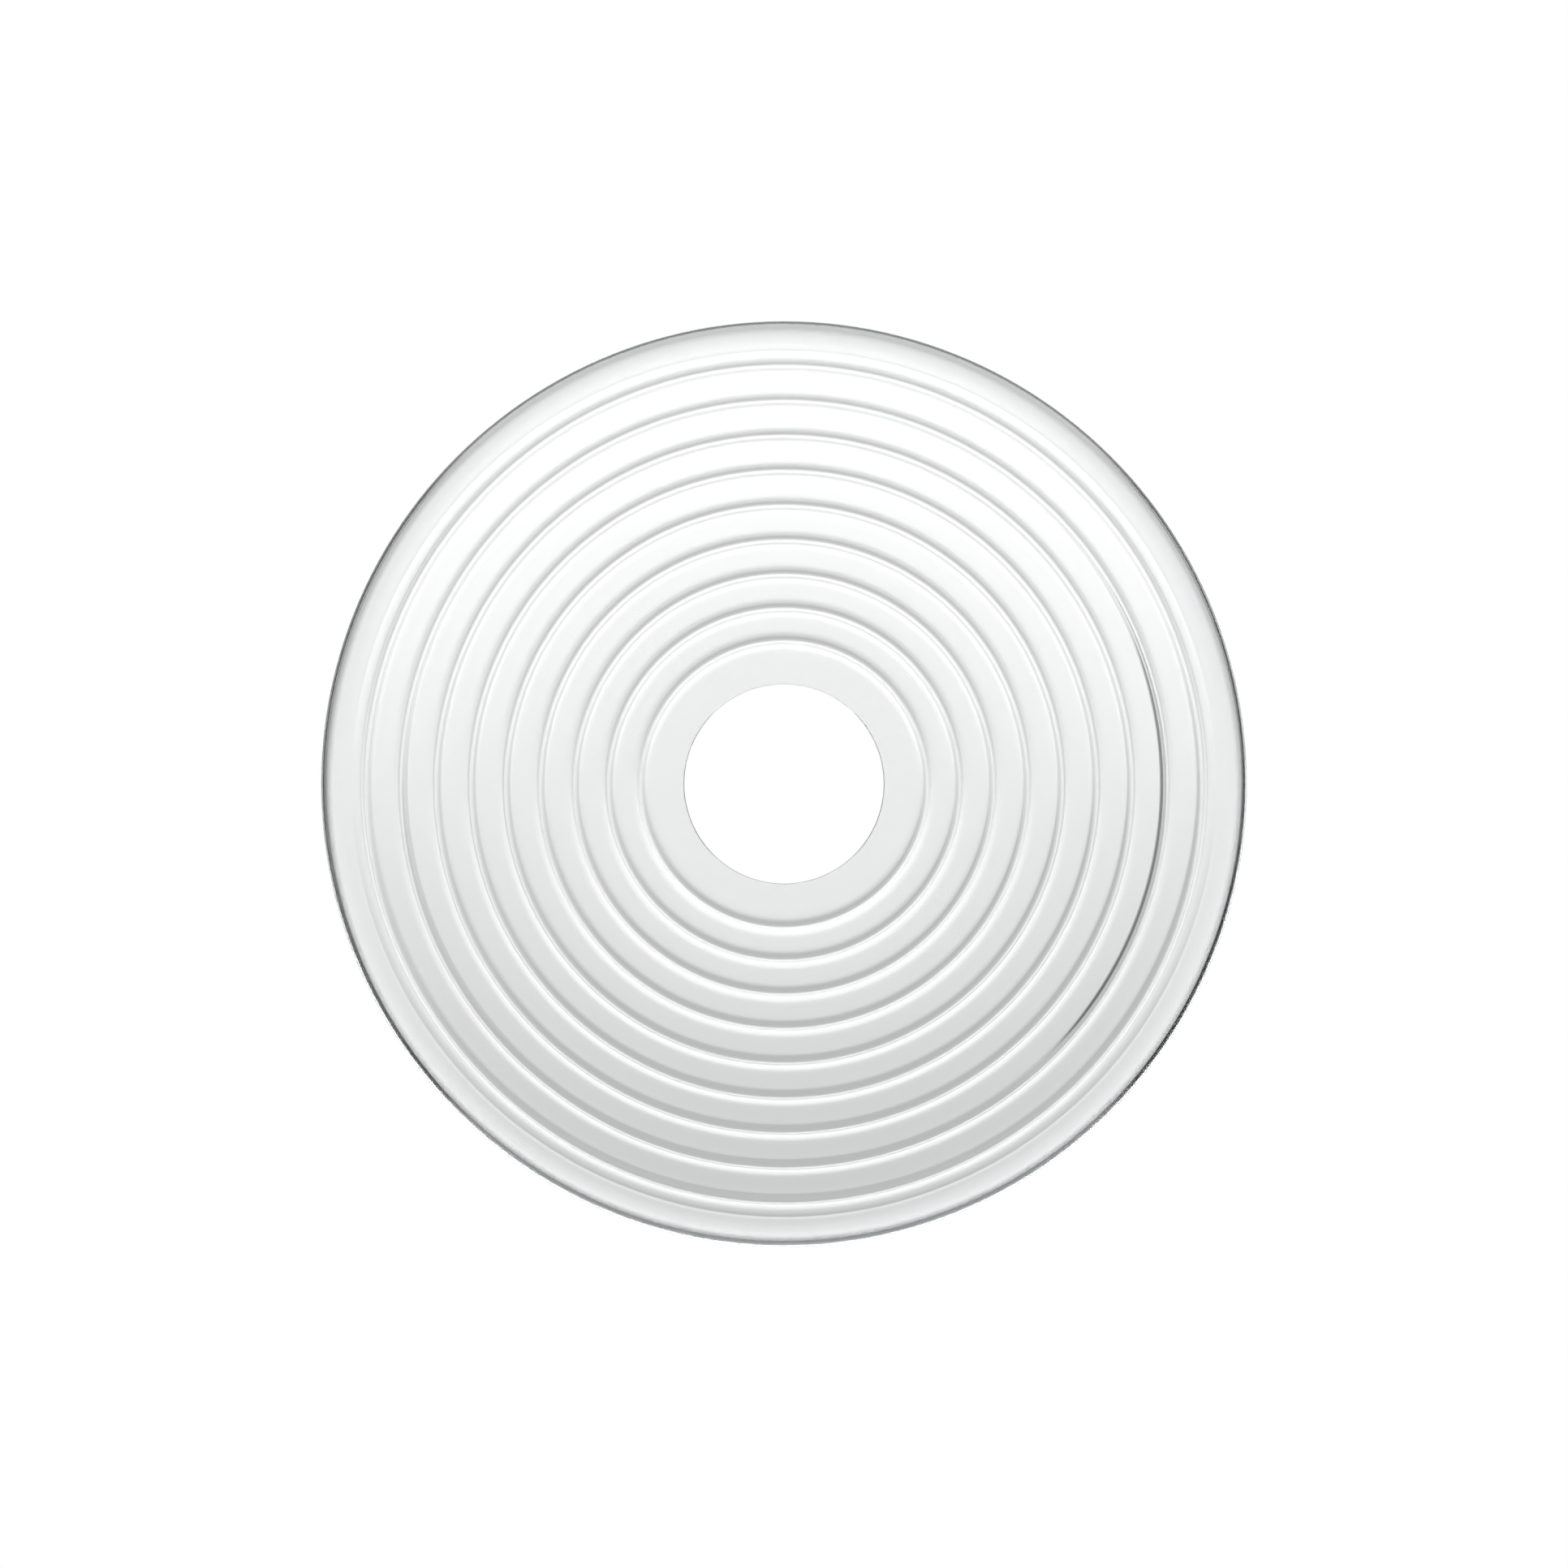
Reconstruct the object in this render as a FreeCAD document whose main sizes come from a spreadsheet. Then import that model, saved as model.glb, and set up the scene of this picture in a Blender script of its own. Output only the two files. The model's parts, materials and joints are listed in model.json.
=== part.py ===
import FreeCAD, Part

"""Watch glass: one round, domed, ringed disc of clear glass with an open centre hole.

Frame: +Z up along the disc's axis. The domed face looks up and the hollow face looks down.
Every pressed ring is a groove in the domed face with a rib of the same section under it, so
the wall keeps one thickness. The origin is on the axis at the level of the surface that the
glass lies on. All sizes are millimetres.
"""

import math
import os

import Sketcher
from FreeCAD import Vector

# Driving dimensions. Each one is a cell of the sheet and can be changed by itself.
SIZES = {
    "outer_diameter": 196.0,
    "hole_diameter": 42.0,
    "hub_width": 6.5,
    "wall": 3.2,
    "dome_radius": 500.0,
    "brim_width": 4.5,
    "brim_radius": 24.0,
    "ring_count": 9,
    "ring_spread": 1.03,
    "hub_margin": 2.65,
    "brim_margin": 2.06,
    "ring_depth": 0.5,
    "ring_radius": 1.9,
    "ring_shoulder": 2.7,
    "hole_fillet": 0.3,
}

SHEET = "Sizes"
START, END, CENTRE = 1, 2, 3
ORIGIN_POINT = (-1, 1)
X_AXIS = -1
DOWN, UP = -math.pi / 2, math.pi / 2
UPRIGHT = Vector(0, 0, 1)
# Largest rise of an edge that still counts as level.
LEVEL = 0.01
# How far a ring's section reaches past the face: above it for a groove, inside it for a rib.
OVERLAP = 0.4


def cell(alias):
    """A sheet cell as an expression reads it."""
    return f"<<{SHEET}>>.{alias}"


# Derived sizes, each as a value for the first drawing and as the expression that binds it.
HOLE = SIZES["hole_diameter"] / 2
HOLE_TEXT = f"({cell('hole_diameter')} / 2)"
HUB = HOLE + SIZES["hub_width"]
HUB_TEXT = f"({HOLE_TEXT} + {cell('hub_width')})"
TROUGH = SIZES["outer_diameter"] / 2 - SIZES["brim_width"]
TROUGH_TEXT = f"({cell('outer_diameter')} / 2 - {cell('brim_width')})"
RIM = SIZES["outer_diameter"] / 2 - SIZES["wall"] / 2
RIM_TEXT = f"({cell('outer_diameter')} / 2 - {cell('wall')} / 2)"
UNDER = SIZES["dome_radius"] - SIZES["wall"]
UNDER_TEXT = f"({cell('dome_radius')} - {cell('wall')})"
FIRST_RING = HUB + SIZES["hub_margin"]
FIRST_RING_TEXT = f"({HUB_TEXT} + {cell('hub_margin')})"
REACH = UNDER + SIZES["brim_radius"]
REACH_TEXT = f"({UNDER_TEXT} + {cell('brim_radius')})"
TOUCH = HUB + UNDER * (TROUGH - HUB) / REACH
TOUCH_TEXT = f"({HUB_TEXT} + {UNDER_TEXT} * ({TROUGH_TEXT} - {HUB_TEXT}) / {REACH_TEXT})"
LAST_RING = TOUCH - SIZES["brim_margin"]
LAST_RING_TEXT = f"({TOUCH_TEXT} - {cell('brim_margin')})"


def ring_place(index):
    """Radius of one ring.

    The rings run from the first to the last, and their spacing opens out a little towards
    the rim: the share of the way is raised to the power ring_spread.
    """
    share = index / (SIZES["ring_count"] - 1)
    return FIRST_RING + (LAST_RING - FIRST_RING) * share ** SIZES["ring_spread"]


def ring_place_text(index):
    """The same radius as an expression of the sheet's cells."""
    share = f"({index} / ({cell('ring_count')} - 1))^{cell('ring_spread')}"
    return f"({FIRST_RING_TEXT} + ({LAST_RING_TEXT} - {FIRST_RING_TEXT}) * {share})"


def face_height(radius, below):
    """Height of a face over the hub's upper face, at a distance from the axis.

    The dome's faces are concentric, and below is 0 for the domed one and the wall's
    thickness for the hollow one.
    """
    dome = SIZES["dome_radius"]
    return math.sqrt((dome - below) ** 2 - (radius - HUB) ** 2) - dome


def face_height_text(radius_text, below_text):
    """The same height as an expression of the sheet's cells."""
    dome = cell("dome_radius")
    return f"(sqrt(({dome} - {below_text})^2 - ({radius_text} - {HUB_TEXT})^2) - {dome})"


def drop_text():
    """How far the lowest point lies below the hub's upper face, as an expression.

    That point is the foot of the trough or the back of the last rib, whichever is lower.
    """
    reach = f"({UNDER_TEXT} + {cell('brim_radius')})"
    rise = f"sqrt({reach}^2 - ({TROUGH_TEXT} - {HUB_TEXT})^2)"
    trough = f"{cell('dome_radius')} + {cell('brim_radius')} - {rise}"
    last_face = face_height_text(ring_place_text(SIZES["ring_count"] - 1), cell("wall"))
    return f"max({trough}; {cell('ring_depth')} - {last_face})"


def make_sheet(doc):
    """Spreadsheet with one named row for each driving dimension."""
    sheet = doc.addObject("Spreadsheet::Sheet", SHEET)
    sheet.Label = SHEET
    for row, (alias, value) in enumerate(SIZES.items(), start=1):
        sheet.set(f"A{row}", alias)
        sheet.set(f"B{row}", str(value))
        sheet.setAlias(f"B{row}", alias)
    doc.recompute()
    return sheet


def new_section(body, name):
    """Empty sketch in the body's XZ plane: sketch x is the radius, sketch y is the height."""
    planes = body.Origin.OriginFeatures
    plane = next(item for item in planes if item.Role == "XZ_Plane")
    sketch = body.newObject("Sketcher::SketchObject", name)
    sketch.AttachmentSupport = [(plane, "")]
    sketch.MapMode = "FlatFace"
    return sketch


def line(first, last):
    """Straight sketch line between two points."""
    return Part.LineSegment(Vector(*first, 0), Vector(*last, 0))


def arc(centre, radius, first, last):
    """Arc of a circle, drawn anticlockwise between two angles in radians."""
    return Part.ArcOfCircle(Part.Circle(Vector(*centre, 0), UPRIGHT, radius), first, last)


def bind(sketch, constraint, name, expression):
    """Add one dimension to a sketch and bind its value to an expression."""
    index = sketch.addConstraint(constraint)
    sketch.renameConstraint(index, name)
    sketch.setExpression(f"Constraints.{name}", expression)


def bind_place(sketch, element, point, place, names, texts):
    """Fix a sketch point's radius and height, both bound to expressions."""
    for kind, value, name, text in zip(("DistanceX", "DistanceY"), place, names, texts):
        bind(sketch, Sketcher.Constraint(kind, *ORIGIN_POINT, element, point, value), name, text)


def join(sketch, kind, *ends):
    """Tangent or coincident joint of two elements at the points given."""
    sketch.addConstraint(Sketcher.Constraint(kind, *ends))


def turn(body, sketch, kind, name):
    """Full turn of a section about the disc's axis: a Revolution adds and a Groove cuts."""
    feature = body.newObject(f"PartDesign::{kind}", name)
    feature.Profile = sketch
    feature.ReferenceAxis = (sketch, ["V_Axis"])
    feature.Angle = 360.0
    return feature


def add_disc(body):
    """Plain disc: flat hub, dome, turned-up brim and full-round rim, one wall thick.

    The hub's upper face is at height 0. The dome's two faces are concentric arcs that leave
    the hub tangentially. The brim's two faces are concentric arcs that turn up again, lowest
    at the trough, and the rim is half a circle between them.
    """
    wall = SIZES["wall"]
    brim = SIZES["brim_radius"]
    dome_centre = (HUB, -SIZES["dome_radius"])
    lean = math.asin((TROUGH - HUB) / (UNDER + brim))
    brim_centre = (TROUGH, dome_centre[1] + (UNDER + brim) * math.cos(lean))
    rise = math.asin((RIM - TROUGH) / (brim - wall / 2))
    rim_centre = (RIM, brim_centre[1] - (brim - wall / 2) * math.cos(rise))

    sketch = new_section(body, "DiscSection")
    hub_under = sketch.addGeometry(line((HOLE, -wall), (HUB, -wall)))
    dome_under = sketch.addGeometry(arc(dome_centre, UNDER, UP - lean, UP))
    brim_under = sketch.addGeometry(arc(brim_centre, brim, DOWN - lean, DOWN + rise))
    rim = sketch.addGeometry(arc(rim_centre, wall / 2, DOWN + rise, UP + rise))
    brim_top = sketch.addGeometry(arc(brim_centre, brim - wall, DOWN - lean, DOWN + rise))
    dome_top = sketch.addGeometry(arc(dome_centre, SIZES["dome_radius"], UP - lean, UP))
    hub_top = sketch.addGeometry(line((HUB, 0), (HOLE, 0)))
    hole_wall = sketch.addGeometry(line((HOLE, 0), (HOLE, -wall)))

    join(sketch, "Tangent", hub_under, END, dome_under, END)
    join(sketch, "Tangent", dome_under, START, brim_under, START)
    join(sketch, "Tangent", brim_under, END, rim, START)
    join(sketch, "Tangent", rim, END, brim_top, END)
    join(sketch, "Tangent", brim_top, START, dome_top, START)
    join(sketch, "Tangent", dome_top, END, hub_top, START)
    join(sketch, "Coincident", hub_top, END, hole_wall, START)
    join(sketch, "Coincident", hole_wall, END, hub_under, START)
    join(sketch, "Coincident", dome_top, CENTRE, dome_under, CENTRE)
    join(sketch, "Coincident", brim_top, CENTRE, brim_under, CENTRE)
    join(sketch, "PointOnObject", hub_top, END, X_AXIS)
    join(sketch, "Horizontal", hub_under)
    join(sketch, "Horizontal", hub_top)
    join(sketch, "Vertical", hole_wall)

    across = (
        (hub_under, START, HOLE, "hole", HOLE_TEXT),
        (hub_top, START, HUB, "hub", HUB_TEXT),
        (brim_under, CENTRE, TROUGH, "trough", TROUGH_TEXT),
        (rim, CENTRE, RIM, "rim", RIM_TEXT),
    )
    for element, point, value, name, text in across:
        place = Sketcher.Constraint("DistanceX", *ORIGIN_POINT, element, point, value)
        bind(sketch, place, name, text)
    thickness = Sketcher.Constraint("DistanceY", hole_wall, END, hole_wall, START, wall)
    bind(sketch, thickness, "thickness", cell("wall"))
    dome_size = Sketcher.Constraint("Radius", dome_top, SIZES["dome_radius"])
    bind(sketch, dome_size, "dome", cell("dome_radius"))
    bind(sketch, Sketcher.Constraint("Radius", brim_under, brim), "brim", cell("brim_radius"))
    return turn(body, sketch, "Revolution", "Disc")


def press_ring(body, index, kind, below, below_text):
    """One side of a pressed ring, round-bottomed: a groove cut in a face or a rib under it."""
    size = SIZES["ring_radius"]
    sunk = size - SIZES["ring_depth"]
    radius = ring_place(index)
    face = face_height(radius, below)
    bend = math.asin((OVERLAP - sunk) / size)
    half = size * math.cos(bend)
    level = face + OVERLAP

    sketch = new_section(body, f"{kind}Section{index + 1}")
    centre = (radius, face + sunk)
    bottom = sketch.addGeometry(arc(centre, size, math.pi - bend, 2 * math.pi + bend))
    chord = sketch.addGeometry(line((radius + half, level), (radius - half, level)))
    join(sketch, "Coincident", bottom, END, chord, START)
    join(sketch, "Coincident", chord, END, bottom, START)
    join(sketch, "Horizontal", chord)

    radius_text = ring_place_text(index)
    face_text = face_height_text(radius_text, below_text)
    lift_text = f"{face_text} + {cell('ring_radius')} - {cell('ring_depth')}"
    bind(sketch, Sketcher.Constraint("Radius", bottom, size), "size", cell("ring_radius"))
    bind_place(sketch, bottom, CENTRE, centre, ("out", "lift"), (radius_text, lift_text))
    height = Sketcher.Constraint("DistanceY", *ORIGIN_POINT, chord, START, level)
    bind(sketch, height, "level", f"{face_text} + {OVERLAP}")
    return turn(body, sketch, kind, f"{kind}Ring{index + 1}")


def hoops_near(shape, radii, reach):
    """Names of the level edges that run right round the axis within reach of a radius."""
    names = []
    for number, edge in enumerate(shape.Edges, start=1):
        box = edge.BoundBox
        level = box.ZLength < LEVEL
        if level and any(abs(box.XLength / 2 - radius) < reach for radius in radii):
            names.append(f"Edge{number}")
    return names


def add_fillet(body, base, names, size, name):
    """Fillet of the named edges, its radius bound to one cell of the sheet."""
    fillet = body.newObject("PartDesign::Fillet", name)
    fillet.Base = (base, names)
    fillet.Radius = SIZES[size]
    fillet.setExpression("Radius", cell(size))
    return fillet


def make_watch_glass(doc):
    """The whole glass as one body, lifted so that its lowest point lies at height 0."""
    body = doc.addObject("PartDesign::Body", "WatchGlass")
    body.Label = "watch_glass"
    tip = add_disc(body)
    for index in range(SIZES["ring_count"]):
        tip = press_ring(body, index, "Revolution", SIZES["wall"], cell("wall"))
        tip = press_ring(body, index, "Groove", 0, "0")
    doc.recompute()

    rings = [ring_place(index) for index in range(SIZES["ring_count"])]
    edges = hoops_near(tip.Shape, rings, SIZES["ring_radius"])
    tip = add_fillet(body, tip, edges, "ring_shoulder", "RingShoulders")
    doc.recompute()
    hole_edges = hoops_near(tip.Shape, [HOLE], SIZES["hole_fillet"])
    tip = add_fillet(body, tip, hole_edges, "hole_fillet", "HoleEdges")
    body.Tip = tip

    body.setExpression("Placement.Base.z", drop_text())
    doc.recompute()
    return body


def check(doc, bodies):
    """Stop if any object failed to compute or any sub-part isn't one valid solid."""
    for item in doc.Objects:
        if "Invalid" in item.State or "Error" in item.State:
            raise RuntimeError(f"{item.Name} failed: {item.State}")
    for body in bodies:
        if body.Shape.isNull() or not body.Shape.isValid():
            raise RuntimeError(f"{body.Label} has no valid shape")
        if len(body.Shape.Solids) != 1:
            raise RuntimeError(f"{body.Label} is not one solid")


def main():
    """Build the document, check it and write one STEP file for each sub-part."""
    doc = FreeCAD.newDocument("WatchGlass")
    make_sheet(doc)
    bodies = [make_watch_glass(doc)]
    check(doc, bodies)
    os.makedirs("parts", exist_ok=True)
    for body in bodies:
        body.Shape.exportStep(f"parts/{body.Label}.step")
        box = body.Shape.optimalBoundingBox()
        size = f"{box.XLength:.2f} x {box.YLength:.2f} x {box.ZLength:.2f} mm"
        print(f"{body.Label}: {size}, lowest {box.ZMin:.3f}, volume {body.Shape.Volume:.0f} mm3")


main()
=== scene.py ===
import json
import logging
import math
from dataclasses import dataclass
from enum import Enum

import bpy
import numpy as np
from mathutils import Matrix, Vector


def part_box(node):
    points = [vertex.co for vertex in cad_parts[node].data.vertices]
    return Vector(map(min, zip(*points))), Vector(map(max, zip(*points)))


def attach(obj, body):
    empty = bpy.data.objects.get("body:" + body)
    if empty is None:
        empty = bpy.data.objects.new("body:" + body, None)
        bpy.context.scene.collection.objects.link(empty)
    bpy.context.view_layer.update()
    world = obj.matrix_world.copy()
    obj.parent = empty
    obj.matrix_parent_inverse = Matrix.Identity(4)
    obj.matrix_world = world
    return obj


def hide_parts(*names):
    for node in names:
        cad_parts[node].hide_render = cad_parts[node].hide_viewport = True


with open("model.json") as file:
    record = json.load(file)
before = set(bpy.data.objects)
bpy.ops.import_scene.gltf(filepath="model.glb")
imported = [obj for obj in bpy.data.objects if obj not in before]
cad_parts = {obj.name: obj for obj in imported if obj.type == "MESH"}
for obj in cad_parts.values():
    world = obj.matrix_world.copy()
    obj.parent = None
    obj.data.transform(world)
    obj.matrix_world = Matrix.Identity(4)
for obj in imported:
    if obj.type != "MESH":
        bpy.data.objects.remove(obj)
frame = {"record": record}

LOG = logging.getLogger("watch_glass")
MM = 0.001
NODE = "watch_glass"
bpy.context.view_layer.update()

Colour = tuple[float, float, float]
Direction = tuple[float, float, float]
Profile = tuple[np.ndarray, np.ndarray]
Width = float | np.ndarray


class Face(Enum):
    """The two faces of the pressed disc: the domed one with the rings, and the hollow one."""

    UPPER = "upper"
    UNDER = "under"


def mount(name: str) -> dict:
    """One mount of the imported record.

    Args:
        name: The mount's name in the record.

    Returns:
        The mount's row.
    """
    rows = frame["record"]["mounts"]
    return next(row for row in rows if row["name"] == name)


def spaced(start: float, end: float, count: int, weight: np.ndarray) -> np.ndarray:
    """Positions from start to end that lie closer where the weight is high.

    The weight is summed along the way from start to end, and the positions divide that
    running sum into equal parts.

    Args:
        start: First position.
        end: Last position.
        count: Number of positions.
        weight: Relative closeness, sampled evenly from start to end.

    Returns:
        The positions, both ends included.
    """
    samples = np.linspace(start, end, len(weight))
    share = np.concatenate([[0.0], np.cumsum((weight[1:] + weight[:-1]) / 2)])
    return np.interp(np.linspace(0.0, share[-1], count), share, samples)


def arc(centre: tuple[float, float], radius: float, first: float, last: float, count: int) -> Profile:
    """Points of a circular arc, spaced evenly by angle.

    Args:
        centre: Radius and height of the arc's centre.
        radius: Radius of the arc.
        first: Angle of the first point, in radians.
        last: Angle of the last point, in radians.
        count: Number of points.

    Returns:
        Radius and height of each point.
    """
    angle = np.linspace(first, last, count)
    return centre[0] + radius * np.cos(angle), centre[1] + radius * np.sin(angle)


def eased(share: np.ndarray) -> np.ndarray:
    """Soft passage from nothing to one: share squared times (three less twice the share)."""
    share = np.clip(share, 0, 1)
    return share ** 2 * (3 - 2 * share)


@dataclass(frozen=True)
class CrispSpan:
    """A stretch round the disc on which the crisp ring kept its steep inner flank.

    Attributes:
        middle: Angle of the stretch's middle, in degrees.
        half: Half of its length, in degrees.
        most: Share of the steep flank at its middle.
        rise: How steeply the share rises from the ends; over one leaves a level middle.
    """

    middle: float
    half: float
    most: float
    rise: float = 1.4

    def share(self, angle: np.ndarray) -> np.ndarray:
        """Share of the steep flank at each angle.

        The turn is the angle's distance from the middle, either way round. The share is the
        most, times the easing of the rise times (one less the turn over the half).
        """
        turn = np.abs((angle - math.radians(self.middle) + math.pi) % (2 * math.pi) - math.pi)
        return self.most * eased(self.rise * (1 - turn / math.radians(self.half)))


@dataclass(frozen=True)
class PressedRings:
    """Concentric rings with round bottoms and soft shoulders, grooves above and ribs below.

    Attributes:
        first: Radius of the innermost ring, in metres.
        last: Radius of the outermost ring, in metres.
        count: Number of rings.
        spread: Power to which a ring's share of the way is raised, so that spacing opens out.
        depth: How far a ring's floor lies below the face, in metres.
        floor: Radius of the ring's round floor, in metres.
        shoulder: Radius of the rounding where the ring meets the face, in metres.
        crisp: Index of the ring whose inner flank is steep on part of the disc.
        crisp_floor: Radius of the floor on that flank, in metres.
        crisp_shoulder: Radius of the shoulder on that flank, in metres.
        crisp_near: Offsets between which that flank needs close points, in metres.
        crisp_spans: Stretches of the disc on which the flank is steep.
        fine: Radius of the fine line where the brim begins, in metres.
        fine_depth: Depth of the fine line, in metres.
        fine_round: Radius of its floor and of its shoulders, in metres.
    """

    first: float = 30.15 * MM
    last: float = 88.4 * MM
    count: int = 9
    spread: float = 1.03
    depth: float = 0.48 * MM
    floor: float = 1.9 * MM
    shoulder: float = 2.7 * MM
    crisp: int = 7
    crisp_floor: float = 0.5 * MM
    crisp_shoulder: float = 0.9 * MM
    crisp_near: tuple[float, float] = (-1.4 * MM, 0.1 * MM)
    crisp_spans: tuple[CrispSpan, ...] = (
        CrispSpan(middle=-12.0, half=62.0, most=1.0),
        CrispSpan(middle=200.0, half=40.0, most=0.5),
    )
    fine: float = 91.6 * MM
    fine_depth: float = 0.08 * MM
    fine_round: float = 0.9 * MM

    def centres(self) -> np.ndarray:
        """Radii of the rings: first plus (last less first) times the share to the spread."""
        share = np.linspace(0.0, 1.0, self.count) ** self.spread
        return self.first + (self.last - self.first) * share

    @staticmethod
    def hollow(
        radius: np.ndarray, place: float, depth: float, floor: Width, shoulder: Width
    ) -> np.ndarray:
        """Depth of one ring at each radius.

        Near the ring's middle the depth follows the floor's circle: depth less (floor less
        the root of floor squared less offset squared). Past the turning point it follows the
        shoulder's circle: shoulder less the root of shoulder squared less the square of the
        distance left to the ring's edge. Outside the ring it is nothing.

        Args:
            radius: Radii to evaluate, in metres.
            place: Radius of the ring.
            depth: Depth of the ring at its middle.
            floor: Radius of its floor, one number or one for each radius.
            shoulder: Radius of its shoulders, one number or one for each radius.

        Returns:
            Depth at each radius, in metres.
        """
        cosine = 1 - depth / (floor + shoulder)
        sine = np.sqrt(1 - cosine ** 2)
        reach = sine * (floor + shoulder)
        turning = floor * sine
        offset = np.abs(radius - place)
        inside = np.minimum(offset, turning)
        bottom = depth - (floor - np.sqrt(floor ** 2 - inside ** 2))
        left = np.clip(reach - offset, 0, reach - turning)
        rounded = shoulder - np.sqrt(shoulder ** 2 - left ** 2)
        return np.where(offset < turning, bottom, rounded)

    def sink(self, radius: np.ndarray) -> np.ndarray:
        """Depth of all the rings and the fine line at each radius, in metres."""
        total = self.hollow(radius, self.fine, self.fine_depth, self.fine_round, self.fine_round)
        for place in self.centres():
            total = total + self.hollow(radius, place, self.depth, self.floor, self.shoulder)
        return total

    def flank(self, radius: np.ndarray, angle: np.ndarray) -> np.ndarray:
        """How much higher the crisp ring's inner flank stands than a soft one.

        It is the soft ring's depth less the steep one's, times the sum of the spans' shares.

        Args:
            radius: Radius of each point, in metres.
            angle: Angle of each point, in radians.

        Returns:
            Extra height at each point, in metres.
        """
        place = self.centres()[self.crisp]
        inner = radius < place
        floor = np.where(inner, self.crisp_floor, self.floor)
        shoulder = np.where(inner, self.crisp_shoulder, self.shoulder)
        soft = self.hollow(radius, place, self.depth, self.floor, self.shoulder)
        steep = self.hollow(radius, place, self.depth, floor, shoulder)
        return (soft - steep) * sum(span.share(angle) for span in self.crisp_spans)

    def is_steep(self, radius: np.ndarray) -> np.ndarray:
        """Whether each radius lies on the crisp ring's inner flank."""
        offset = radius - self.centres()[self.crisp]
        first, last = self.crisp_near
        return (offset > first) & (offset < last)


@dataclass(frozen=True)
class DiscSize:
    """Sizes of the disc, in metres: the outline from the CAD model, the rest as designed.

    Attributes:
        outer: Outer radius.
        hole: Radius of the open centre.
        top: Height of the hub's upper face.
        wall: Thickness of the glass.
        hub: Radius at which the flat hub ends and the dome begins.
        dome_radius: Radius of the dome's upper face.
        trough: Radius of the lowest ring of the underside, where the brim turns up.
        brim_radius: Radius of the brim's under face.
        hole_round: Rounding of the hole's two edges.
        rim_reach: How far the rim's rounding reaches outwards from where it begins.
    """

    outer: float
    hole: float
    top: float
    wall: float
    hub: float = 27.5 * MM
    dome_radius: float = 500.0 * MM
    trough: float = 93.5 * MM
    brim_radius: float = 24.0 * MM
    hole_round: float = 0.2 * MM
    rim_reach: float = 2.5 * MM

    @classmethod
    def from_frame(cls) -> "DiscSize":
        """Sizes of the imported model: its box, its hole and the heights of its hub's faces."""
        wall = mount("hub_top")["pos_m"][2] - mount("hub_underside")["pos_m"][2]
        hole = mount("centre_hole")["dims"]["r_mm"] * MM
        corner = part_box(NODE)[1]
        return cls(outer=corner.x, hole=hole, top=corner.z, wall=wall)

    def rim(self) -> float:
        """Radius at which the rim's rounding begins, on the middle of the wall."""
        return self.outer - self.rim_reach

    def brim_centre(self) -> float:
        """Height of the brim's common centre, over the trough's radius."""
        reach = self.dome_radius - self.wall + self.brim_radius
        return self.top - self.dome_radius + math.sqrt(reach ** 2 - (self.trough - self.hub) ** 2)

    def touch(self, face: Face) -> float:
        """Radius at which the dome of a face passes into its brim."""
        dome = self.dome_radius - (0.0 if face is Face.UPPER else self.wall)
        reach = self.dome_radius - self.wall + self.brim_radius
        return self.hub + dome * (self.trough - self.hub) / reach

    def rise(self) -> float:
        """Angle by which the brim has turned up where the rim begins, in radians."""
        return math.asin((self.rim() - self.trough) / (self.brim_radius - self.wall / 2))

    def rim_centre(self) -> float:
        """Height at which the rim's rounding begins, on the middle of the wall."""
        middle = self.brim_radius - self.wall / 2
        return self.brim_centre() - middle * math.cos(self.rise())

    def height(self, face: Face, radius: np.ndarray) -> np.ndarray:
        """Height of a face, without its rings, at each radius.

        The hub is level. The dome is a circle whose centre is below the hub's edge. The brim
        is a circle whose centre is above the trough. The two circles touch where the line
        between their centres crosses the face.

        Args:
            face: The face.
            radius: Radii to evaluate, in metres.

        Returns:
            Height at each radius, in metres.
        """
        below = 0.0 if face is Face.UPPER else self.wall
        dome = self.dome_radius - below
        brim = self.brim_radius - self.wall + below
        touch = self.touch(face)
        out = np.clip(radius - self.hub, 0, touch - self.hub)
        domed = self.top - self.dome_radius + np.sqrt(dome ** 2 - out ** 2)
        across = np.clip(radius, touch, None) - self.trough
        brimmed = self.brim_centre() - np.sqrt(brim ** 2 - across ** 2)
        return np.where(radius < touch, domed, brimmed)


@dataclass(frozen=True)
class FirePolish:
    """The slow unevenness that pressed glass keeps after its surface is melted smooth.

    Attributes:
        depth: Greatest depth of the unevenness, in metres.
        around: Waves round the disc in each of the overlaid patterns.
        across: Distance between waves along the radius in the same patterns, in metres.
        fade: Distance over which the unevenness dies away at the dome's ends, in metres.
    """

    depth: float = 0.02 * MM
    around: tuple[int, ...] = (3, 5, 8, 13)
    across: tuple[float, ...] = (61 * MM, 37 * MM, 23 * MM, 17 * MM)
    fade: float = 6.0 * MM

    def sink(self, radius: np.ndarray, angle: np.ndarray, start: float, end: float) -> np.ndarray:
        """Depth of the unevenness over the dome.

        Each pattern is the sine of (waves around times the angle, plus a turn for each
        distance across). The patterns' mean is shifted to lie between nothing and one, and
        is multiplied by the depth and by an easing that is nothing at both ends.

        Args:
            radius: Radius of each point, in metres.
            angle: Angle of each point, in radians.
            start: Radius at which the dome begins.
            end: Radius at which the dome ends.

        Returns:
            Depth at each point, in metres.
        """
        total = np.zeros(np.broadcast(radius, angle).shape)
        for turns, distance in zip(self.around, self.across):
            total = total + np.sin(turns * angle + 2 * math.pi * radius / distance + turns)
        mean = total / len(self.around)
        near = np.minimum(radius - start, end - radius) / self.fade
        return self.depth * (mean + 1) / 2 * eased(near)


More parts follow.
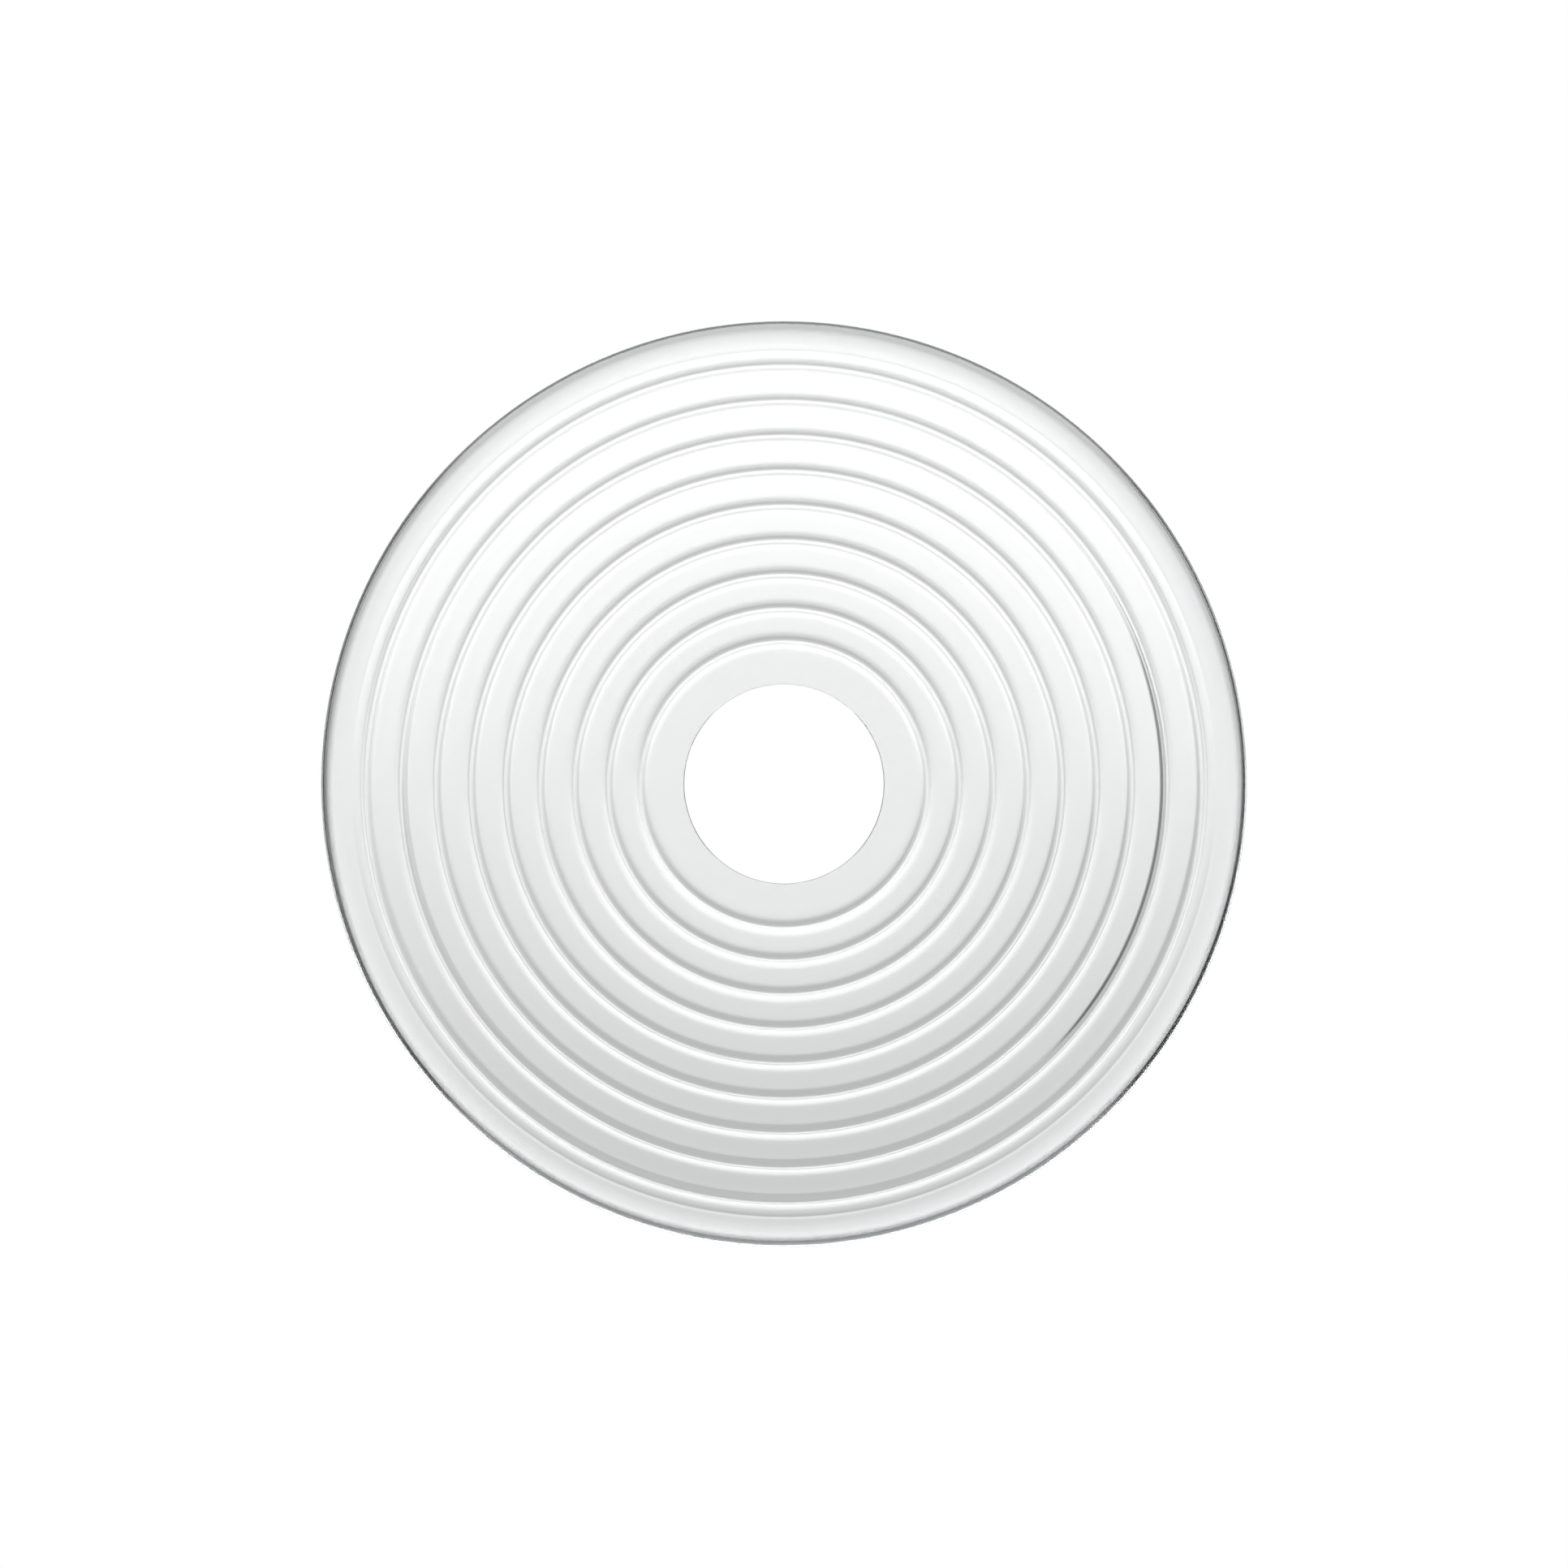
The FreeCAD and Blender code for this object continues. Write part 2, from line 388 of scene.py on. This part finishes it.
class NodeSheet:
    """A node tree, with short typed calls that add nodes and join them."""

    def __init__(self, tree: bpy.types.NodeTree) -> None:
        """Empty the tree and keep it."""
        self.tree = tree
        tree.nodes.clear()

    def add(self, kind: str, **settings: object) -> bpy.types.Node:
        """Add one node.

        Args:
            kind: The node's Blender type.
            **settings: Properties of the node.

        Returns:
            The new node.
        """
        node = self.tree.nodes.new(kind)
        for name, value in settings.items():
            setattr(node, name, value)
        return node

    def feed(self, socket: bpy.types.NodeSocket, value: object) -> None:
        """Give an input socket a value, or join it to another socket."""
        if isinstance(value, bpy.types.NodeSocket):
            self.tree.links.new(value, socket)
        else:
            socket.default_value = value

    def math(self, operation: str, *values: object) -> bpy.types.NodeSocket:
        """Result of an operation on one to three values.

        Args:
            operation: Name of the operation.
            *values: Numbers or sockets.

        Returns:
            The result's socket.
        """
        node = self.add("ShaderNodeMath", operation=operation)
        for socket, value in zip(node.inputs, values):
            self.feed(socket, value)
        return node.outputs[0]

    def blend(self, share: object, first: object, second: object) -> bpy.types.NodeSocket:
        """Mix of two colours.

        Args:
            share: Share of the second colour, a number or a socket.
            first: Colour or socket.
            second: Colour or socket.

        Returns:
            The mixed colour's socket.
        """
        node = self.add("ShaderNodeMix", data_type="RGBA")
        self.feed(node.inputs[0], share)
        self.feed(node.inputs[6], first)
        self.feed(node.inputs[7], second)
        return node.outputs[2]

    def level_length(self, vector: bpy.types.NodeSocket) -> bpy.types.NodeSocket:
        """Length of a vector's level part."""
        flat = self.add("ShaderNodeVectorMath", operation="MULTIPLY")
        self.feed(flat.inputs[0], vector)
        self.feed(flat.inputs[1], (1.0, 1.0, 0.0))
        length = self.add("ShaderNodeVectorMath", operation="LENGTH")
        self.feed(length.inputs[0], flat.outputs[0])
        return length.outputs["Value"]

    def along(self, vector: bpy.types.NodeSocket, direction: Direction) -> bpy.types.NodeSocket:
        """How far a vector reaches along a direction."""
        node = self.add("ShaderNodeVectorMath", operation="DOT_PRODUCT")
        self.feed(node.inputs[0], vector)
        self.feed(node.inputs[1], direction)
        return node.outputs["Value"]

    def ease(
        self, value: object, start: float, end: float, low: float, high: float
    ) -> bpy.types.NodeSocket:
        """Soft passage from one number to another.

        Args:
            value: Number or socket that is followed.
            start: Where the passage begins.
            end: Where it ends.
            low: Result before the passage.
            high: Result after it.

        Returns:
            The result's socket.
        """
        node = self.add("ShaderNodeMapRange", interpolation_type="SMOOTHSTEP")
        for socket, given in zip(node.inputs, (value, start, end, low, high)):
            self.feed(socket, given)
        return node.outputs["Result"]

    def noise(
        self, vector: bpy.types.NodeSocket, size: float, detail: float
    ) -> bpy.types.NodeSocket:
        """Noise whose lumps are about as wide as the size, in metres."""
        node = self.add("ShaderNodeTexNoise")
        self.feed(node.inputs["Vector"], vector)
        self.feed(node.inputs["Scale"], 1 / size)
        self.feed(node.inputs["Detail"], detail)
        return node.outputs["Fac"]


@dataclass(frozen=True)
class GlassFinish:
    """Clear fire-polished pressed glass.

    Attributes:
        name: Name of the material.
        clear: Colour of the glass at the hub.
        edge: Colour towards the rim, where light passes through more of it.
        edge_start: Radius at which the colour begins to change, in metres.
        edge_end: Radius at which it has changed.
        rim: Painted shade on the rim: a dark grey that stands in for the dark outline
            that refraction gives the rounded edge.
        rim_shade_start: Radius at which the painted rim shade begins.
        rim_shade_end: Radius at which it is whole.
        mottle: Share of the edge's colour that the patches bring to the whole disc.
        ior: Refractive index.
        polish: Roughness of the best and the worst polished patches.
        patch: Width of a patch of polish, in metres.
        patch_range: Noise between which the polish passes from best to worst.
        lump: Width of the slow waves left by the melt, in metres.
        lump_rise: Height of those waves, in metres.
        mould_pitch: Distance between the faint turning marks of the mould, in metres.
        mould_rise: Height of those marks, in metres.
    """

    name: str = "clear_pressed_glass"
    clear: Colour = (0.985, 0.992, 0.992)
    edge: Colour = (0.955, 0.975, 0.978)
    edge_start: float = 88 * MM
    edge_end: float = 98.0 * MM
    # Painted shade: a dark grey band on the rounded rim, standing in for the dark outline that
    # refraction gives the edge.
    rim: Colour = (0.50, 0.515, 0.52)
    rim_shade_start: float = 95.5 * MM
    rim_shade_end: float = 96.5 * MM
    mottle: float = 0.12
    ior: float = 1.5
    polish: tuple[float, float] = (0.0, 0.006)
    patch: float = 14 * MM
    patch_range: tuple[float, float] = (0.35, 0.7)
    lump: float = 18 * MM
    lump_rise: float = 0.012 * MM
    mould_pitch: float = 0.9 * MM
    mould_rise: float = 0.0004 * MM

    def material(self) -> bpy.types.Material:
        """Build the material's nodes.

        Returns:
            The finished material.
        """
        made = bpy.data.materials.new(self.name)
        made.use_nodes = True
        sheet = NodeSheet(made.node_tree)
        place = sheet.add("ShaderNodeTexCoord").outputs["Object"]
        shader = sheet.add("ShaderNodeBsdfPrincipled")
        output = sheet.add("ShaderNodeOutputMaterial")
        sheet.feed(output.inputs["Surface"], shader.outputs["BSDF"])

        radius = sheet.level_length(place)
        patches = sheet.noise(place, self.patch, 3.0)
        sheet.feed(shader.inputs["Base Color"], self.colour(sheet, radius, patches))
        rough = sheet.ease(patches, *self.patch_range, *self.polish)
        sheet.feed(shader.inputs["Roughness"], rough)
        sheet.feed(shader.inputs["Normal"], self.relief(sheet, place, radius, patches))
        shader.inputs["Metallic"].default_value = 0.0
        shader.inputs["IOR"].default_value = self.ior
        shader.inputs["Transmission Weight"].default_value = 1.0
        return made

    def colour(
        self, sheet: NodeSheet, radius: bpy.types.NodeSocket, patches: bpy.types.NodeSocket
    ) -> bpy.types.NodeSocket:
        """Colour of the glass: clear at the hub, tinted towards the edge, darker at the rim.

        Args:
            sheet: The node tree.
            radius: Distance from the axis.
            patches: Noise of the patches of polish.

        Returns:
            The colour's socket.
        """
        outward = sheet.ease(radius, self.edge_start, self.edge_end, 0.0, 1.0)
        share = sheet.math("MULTIPLY_ADD", patches, self.mottle, outward)
        tinted = sheet.blend(share, (*self.clear, 1.0), (*self.edge, 1.0))
        # Painted shade: blends the dark grey rim colour over the rounded rim in place of its
        # refraction outline.
        rim_shade_share = sheet.ease(radius, self.rim_shade_start, self.rim_shade_end, 0.0, 1.0)
        return sheet.blend(rim_shade_share, tinted, (*self.rim, 1.0))

    def relief(
        self,
        sheet: NodeSheet,
        place: bpy.types.NodeSocket,
        radius: bpy.types.NodeSocket,
        patches: bpy.types.NodeSocket,
    ) -> bpy.types.NodeSocket:
        """Fine relief: slow melt waves, and the mould's turning marks where they are worn least.

        Args:
            sheet: The node tree.
            place: Place on the object.
            radius: Distance from the axis.
            patches: Noise of the patches of polish.

        Returns:
            The socket of the turned normal.
        """
        lumps = sheet.noise(place, self.lump, 1.0)
        turns = sheet.math("MULTIPLY", radius, 2 * math.pi / self.mould_pitch)
        worn = sheet.math("MULTIPLY", sheet.math("SINE", turns), patches)
        marks = sheet.math("MULTIPLY", worn, self.mould_rise)
        height = sheet.math("MULTIPLY_ADD", lumps, self.lump_rise, marks)
        bump = sheet.add("ShaderNodeBump")
        sheet.feed(bump.inputs["Height"], height)
        sheet.feed(bump.inputs["Distance"], 1.0)
        sheet.feed(bump.inputs["Strength"], 1.0)
        return bump.outputs["Normal"]


@dataclass(frozen=True)
class WatchGlass:
    """The whole glass: one pressed disc with its hub, dome, rings, brim and round rim.

    Attributes:
        size: Sizes of the disc.
        rings: The rings in its domed face.
        polish: The unevenness of its domed face.
        finish: The glass itself.
        turns: Steps round the disc.
        face_points: Points across each face.
        rim_points: Points round the rim's edge.
        edge_points: Points on each rounded edge of the hole.
        gather: How much closer points lie where a face bends than where it is plain.
        gather_steep: The same for the steep flank of the crisp ring.
        samples: Places along a face at which that closeness is worked out.
    """

    size: DiscSize
    rings: PressedRings = PressedRings()
    polish: FirePolish = FirePolish()
    finish: GlassFinish = GlassFinish()
    turns: int = 200
    face_points: int = 212
    rim_points: int = 26
    edge_points: int = 6
    gather: float = 2.2
    gather_steep: float = 8.0
    samples: int = 4000

    def face_line(self, face: Face) -> Profile:
        """One face from the hole's rounding out to the rim.

        The radii lie closer in the rings and on the brim. The height is the face's own, less
        the depth of the rings, which are grooves on the domed face and ribs under it.

        Args:
            face: The face.

        Returns:
            Radius and height of each point, from the hole outwards.
        """
        size = self.size
        upper = face is Face.UPPER
        inward = size.wall / 2 * math.sin(size.rise())
        start = size.hole + size.hole_round
        end = size.rim() - inward if upper else size.rim() + inward
        sample = np.linspace(start, end, self.samples)
        bent = (self.rings.sink(sample) > 0) | (sample > size.touch(face))
        weight = np.where(bent, self.gather, 1.0)
        weight = np.where(self.rings.is_steep(sample) & upper, self.gather_steep, weight)
        radius = spaced(start, end, self.face_points, weight)
        return radius, size.height(face, radius) - self.rings.sink(radius)

    def rim_line(self) -> Profile:
        """The rim's rounding, from the under face round to the upper one.

        It is half an ellipse that leans with the brim: the rim's reach times the cosine goes
        ahead along the wall, and half the wall times the sine goes across it.

        Returns:
            Radius and height of each point.
        """
        size = self.size
        lean = size.rise()
        turn = np.linspace(-math.pi / 2, math.pi / 2, self.rim_points)
        ahead = size.rim_reach * np.cos(turn)
        above = size.wall / 2 * np.sin(turn)
        radius = size.rim() + ahead * math.cos(lean) - above * math.sin(lean)
        height = size.rim_centre() + ahead * math.sin(lean) + above * math.cos(lean)
        return radius, height

    def section(self) -> Profile:
        """Closed section of the disc, from the hole out under it, round the rim and back.

        Returns:
            Radius and height of each point, in order, the first not repeated at the end.
        """
        size = self.size
        under = self.face_line(Face.UNDER)
        upper = self.face_line(Face.UPPER)
        quarter = math.pi / 2
        edge = size.hole + size.hole_round
        high = (edge, size.top - size.hole_round)
        low = (edge, size.top - size.wall + size.hole_round)
        lip = arc(high, size.hole_round, quarter, 2 * quarter, self.edge_points)
        sill = arc(low, size.hole_round, 2 * quarter, 3 * quarter, self.edge_points)
        parts = [
            under,
            tuple(line[1:-1] for line in self.rim_line()),
            tuple(line[::-1] for line in upper),
            tuple(line[1:] for line in lip),
            tuple(line[:-1] for line in sill),
        ]
        radius, height = (np.concatenate(lines) for lines in zip(*parts))
        return radius, height

    def surface(self) -> tuple[np.ndarray, np.ndarray]:
        """The section carried round the axis.

        A point's place is (radius times cosine, radius times sine, height), and on the domed
        face the height is less the unevenness there and more by the steep flank's extra.
        Each face joins two neighbouring points of the section at two neighbouring angles, so
        the grid closes on itself both ways.

        Returns:
            Places of the vertices and corners of the faces.
        """
        size = self.size
        radius, height = self.section()
        angle = np.linspace(0, 2 * math.pi, self.turns, endpoint=False)[:, None]
        uneven = self.polish.sink(radius[None, :], angle, size.hub, size.touch(Face.UPPER))
        uneven = uneven - self.rings.flank(radius[None, :], angle)
        face = size.height(Face.UPPER, radius) - self.rings.sink(radius)
        is_upper = height > face - size.wall / 2
        drop = np.where(is_upper[None, :], uneven, 0.0)
        x = radius * np.cos(angle)
        y = radius * np.sin(angle)
        places = np.stack([x, y, height[None, :] - drop], axis=-1).reshape(-1, 3)
        points = len(radius)
        turn, point = np.meshgrid(np.arange(self.turns), np.arange(points), indexing="ij")
        after, beyond = (turn + 1) % self.turns, (point + 1) % points
        corners = (turn * points + point, after * points + point)
        corners += (after * points + beyond, turn * points + beyond)
        return places, np.stack(corners, axis=-1).reshape(-1, 4)

    def build(self) -> bpy.types.Object:
        """Make the mesh, dress it, and put it in the CAD node's place.

        Returns:
            The finished piece.
        """
        places, corners = self.surface()
        mesh = bpy.data.meshes.new("glass_disc")
        mesh.vertices.add(len(places))
        mesh.vertices.foreach_set("co", places.ravel())
        mesh.loops.add(corners.size)
        mesh.loops.foreach_set("vertex_index", corners.ravel())
        mesh.polygons.add(len(corners))
        mesh.polygons.foreach_set("loop_start", np.arange(len(corners)) * 4)
        mesh.update(calc_edges=True)
        mesh.validate()
        mesh.shade_smooth()
        piece = bpy.data.objects.new("glass_disc", mesh)
        bpy.context.scene.collection.objects.link(piece)
        self.dress(piece)
        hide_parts(NODE)
        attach(piece, "root")
        return piece

    def dress(self, piece: bpy.types.Object) -> None:
        """Give a piece the glass."""
        piece.data.materials.append(self.finish.material())


@dataclass(frozen=True)
class SoftEdge:
    """One soft boundary of the lamp's glow: the glow fades along a direction.

    Attributes:
        direction: Direction along which it fades.
        full: Reach along the direction up to which the glow is whole.
        gone: Reach at which it has ended.
        least: Share of the glow that is left past that.
    """

    direction: Direction
    full: float
    gone: float
    least: float = 0.0

    def share(self, sheet: NodeSheet, vector: bpy.types.NodeSocket) -> bpy.types.NodeSocket:
        """Share of the glow that this boundary lets through in each direction."""
        reach = sheet.along(vector, self.direction)
        return sheet.ease(reach, self.full, self.gone, 1.0, self.least)


@dataclass(frozen=True)
class Studio:
    """The surroundings: a pale floor, a big overhead soft light and the camera.

    Attributes:
        behind: Brightness of the floor as the glass shows it.
        flag: Share of that brightness left on the two dark flags beside the glass.
        flag_heights: Downward reaches between which the flags fade in and out again.
        flag_sides: Sideways share of a level direction between which the flags fade in.
        least_level: Least level length that the sideways share is taken of.
        plain: Brightness of the floor and the backdrop as seen directly.
        strong: Brightness of the soft light on its far side.
        weak: Brightness of the soft light overhead and on its near side.
        weak_until: Reach towards the far side up to which the light is weak.
        strong_from: Reach from which it is strong.
        edges: Boundaries of the soft light.
        far_floor: Downward reaches between which the floor passes to its far brightness.
        far_bright: Brightness of the far floor as the glass shows it.
        haze: Least brightness just over the horizon.
        haze_heights: Upward reaches between which that haze fades out.
        horizon: Upward reach over which the room passes from the floor to the light.
        floor_size: Width of the floor.
        floor_gap: Distance of the floor below the glass.
        distance: Height of the camera over the glass.
        view_width: Width of what the camera sees at the glass.
        sensor: Width of the camera's sensor, in millimetres.
    """

    behind: float = 0.53
    flag: float = 0.10
    flag_heights: tuple[float, float, float, float] = (-0.985, -0.955, -0.64, -0.52)
    flag_sides: tuple[float, float] = (0.62, 0.82)
    least_level: float = 0.01
    plain: float = 1.0
    strong: float = 7.8
    weak: float = 1.4
    weak_until: float = -0.45
    strong_from: float = 0.45
    edges: tuple[SoftEdge, ...] = (
        SoftEdge((0.0, -1.0, 0.0), 0.38, 0.58, 0.10),
        SoftEdge((1.0, 0.0, 0.0), 0.80, 0.92),
        SoftEdge((-1.0, 0.0, 0.0), 0.88, 0.99, 0.1),
        SoftEdge((0.75, -0.66, 0.0), 0.58, 0.76),
        SoftEdge((0.0, 0.0, -1.0), -0.44, -0.24, 0.12),
    )
    far_floor: tuple[float, float] = (-0.45, -0.28)
    far_bright: float = 0.82
    haze: float = 0.75
    haze_heights: tuple[float, float] = (0.26, 0.38)
    horizon: tuple[float, float] = (-0.02, 0.02)
    floor_size: float = 6.0
    floor_gap: float = 0.2 * MM
    distance: float = 0.7
    view_width: float = 0.3294
    sensor: float = 36.0

    def build(self, top: float) -> None:
        """Build the surroundings.

        Args:
            top: Height of the glass's top, in metres.
        """
        self.build_floor()
        self.build_room()
        self.build_camera(top)

    def direct_or_seen(
        self, sheet: NodeSheet, seen: bpy.types.NodeSocket
    ) -> bpy.types.NodeSocket:
        """Brightness that is plain for the camera itself and another for the glass.

        Args:
            sheet: The node tree.
            seen: Brightness for light that the glass turns or mirrors.

        Returns:
            The brightness's socket.
        """
        direct = sheet.add("ShaderNodeLightPath").outputs["Is Camera Ray"]
        mix = sheet.add("ShaderNodeMix", data_type="FLOAT")
        sheet.feed(mix.inputs[0], direct)
        sheet.feed(mix.inputs[2], seen)
        sheet.feed(mix.inputs[3], self.plain)
        return mix.outputs[0]

    def build_floor(self) -> None:
        """A square sheet of pale paper just below the glass, evenly lit."""
        half = self.floor_size / 2
        ends = np.array([[-half, -half], [half, -half], [half, half], [-half, half]])
        mesh = bpy.data.meshes.new("floor")
        corners = np.column_stack([ends, np.full(4, -self.floor_gap)])
        mesh.from_pydata(corners.tolist(), [], [(0, 1, 2, 3)])
        floor = bpy.data.objects.new("floor", mesh)
        bpy.context.scene.collection.objects.link(floor)
        paper = bpy.data.materials.new("pale_paper")
        paper.use_nodes = True
        sheet = NodeSheet(paper.node_tree)
        glow = sheet.add("ShaderNodeEmission")
        sheet.feed(glow.inputs["Strength"], self.plain)
        sheet.feed(glow.inputs["Color"], (1.0, 1.0, 1.0, 1.0))
        output = sheet.add("ShaderNodeOutputMaterial")
        sheet.feed(output.inputs["Surface"], glow.outputs["Emission"])
        mesh.materials.append(paper)
        floor.visible_transmission = False
        floor.visible_glossy = False
        floor.visible_diffuse = False

    def light(
        self, sheet: NodeSheet, vector: bpy.types.NodeSocket, up: bpy.types.NodeSocket
    ) -> bpy.types.NodeSocket:
        """Brightness of the soft light over the glass.

        Args:
            sheet: The node tree.
            vector: The direction that is looked along.
            up: How far that direction reaches upwards.

        Returns:
            The brightness's socket.
        """
        far = sheet.along(vector, (0.0, 1.0, 0.0))
        glow = sheet.ease(far, self.weak_until, self.strong_from, self.weak, self.strong)
        for edge in self.edges:
            glow = sheet.math("MULTIPLY", glow, edge.share(sheet, vector))
        haze = sheet.ease(up, *self.haze_heights, self.haze, 0.0)
        return sheet.math("MAXIMUM", glow, haze)

    def flags(
        self, sheet: NodeSheet, vector: bpy.types.NodeSocket, up: bpy.types.NodeSocket
    ) -> bpy.types.NodeSocket:
        """How far the two dark flags cover a direction, from nothing to one.

        Args:
            sheet: The node tree.
            vector: The direction that is looked along.
            up: How far that direction reaches upwards.

        Returns:
            The cover's socket.
        """
        enter, whole, leave, gone = self.flag_heights
        sideways = sheet.math("ABSOLUTE", sheet.along(vector, (1.0, 0.0, 0.0)))
        level = sheet.math("MAXIMUM", sheet.level_length(vector), self.least_level)
        cover = sheet.ease(sheet.math("DIVIDE", sideways, level), *self.flag_sides, 0.0, 1.0)
        cover = sheet.math("MULTIPLY", cover, sheet.ease(up, enter, whole, 0.0, 1.0))
        return sheet.math("MULTIPLY", cover, sheet.ease(up, leave, gone, 1.0, 0.0))

    def build_room(self) -> None:
        """The room as brightness in each direction: soft light above, pale floor below."""
        world = bpy.data.worlds.new("soft_light")
        bpy.context.scene.world = world
        world.use_nodes = True
        sheet = NodeSheet(world.node_tree)
        vector = sheet.add("ShaderNodeTexCoord").outputs["Generated"]
        up = sheet.along(vector, (0.0, 0.0, 1.0))
        floor = sheet.ease(up, *self.far_floor, self.behind, self.far_bright)
        dimming = sheet.ease(self.flags(sheet, vector, up), 0.0, 1.0, 1.0, self.flag)
        floor = sheet.math("MULTIPLY", floor, dimming)
        is_up = sheet.ease(up, *self.horizon, 0.0, 1.0)
        above = sheet.math("MULTIPLY", self.light(sheet, vector, up), is_up)
        under = sheet.math("MULTIPLY", floor, sheet.math("SUBTRACT", 1.0, is_up))
        room = sheet.math("ADD", above, under)
        back = sheet.add("ShaderNodeBackground")
        sheet.feed(back.inputs["Color"], (1.0, 1.0, 1.0, 1.0))
        sheet.feed(back.inputs["Strength"], self.direct_or_seen(sheet, room))
        output = sheet.add("ShaderNodeOutputWorld")
        sheet.feed(output.inputs["Surface"], back.outputs["Background"])
        bpy.context.scene.view_settings.view_transform = "Standard"

    def build_camera(self, top: float) -> None:
        """A camera straight over the glass, looking down the axis."""
        lens = bpy.data.cameras.new("camera")
        lens.sensor_width = self.sensor
        lens.lens = self.sensor * self.distance / self.view_width
        lens.clip_start = 0.01
        camera = bpy.data.objects.new("camera", lens)
        camera.location = (0.0, 0.0, top + self.distance)
        bpy.context.scene.collection.objects.link(camera)
        bpy.context.scene.camera = camera


def main() -> None:
    """Build the glass and its surroundings, and report each piece."""
    logging.basicConfig(level=logging.INFO, format="%(name)s: %(message)s")
    glass = WatchGlass(size=DiscSize.from_frame())
    piece = glass.build()
    LOG.info("%s: %d faces", piece.name, len(piece.data.polygons))
    Studio().build(glass.size.top)
    LOG.info("surroundings built")


if __name__ == "__main__":
    main()
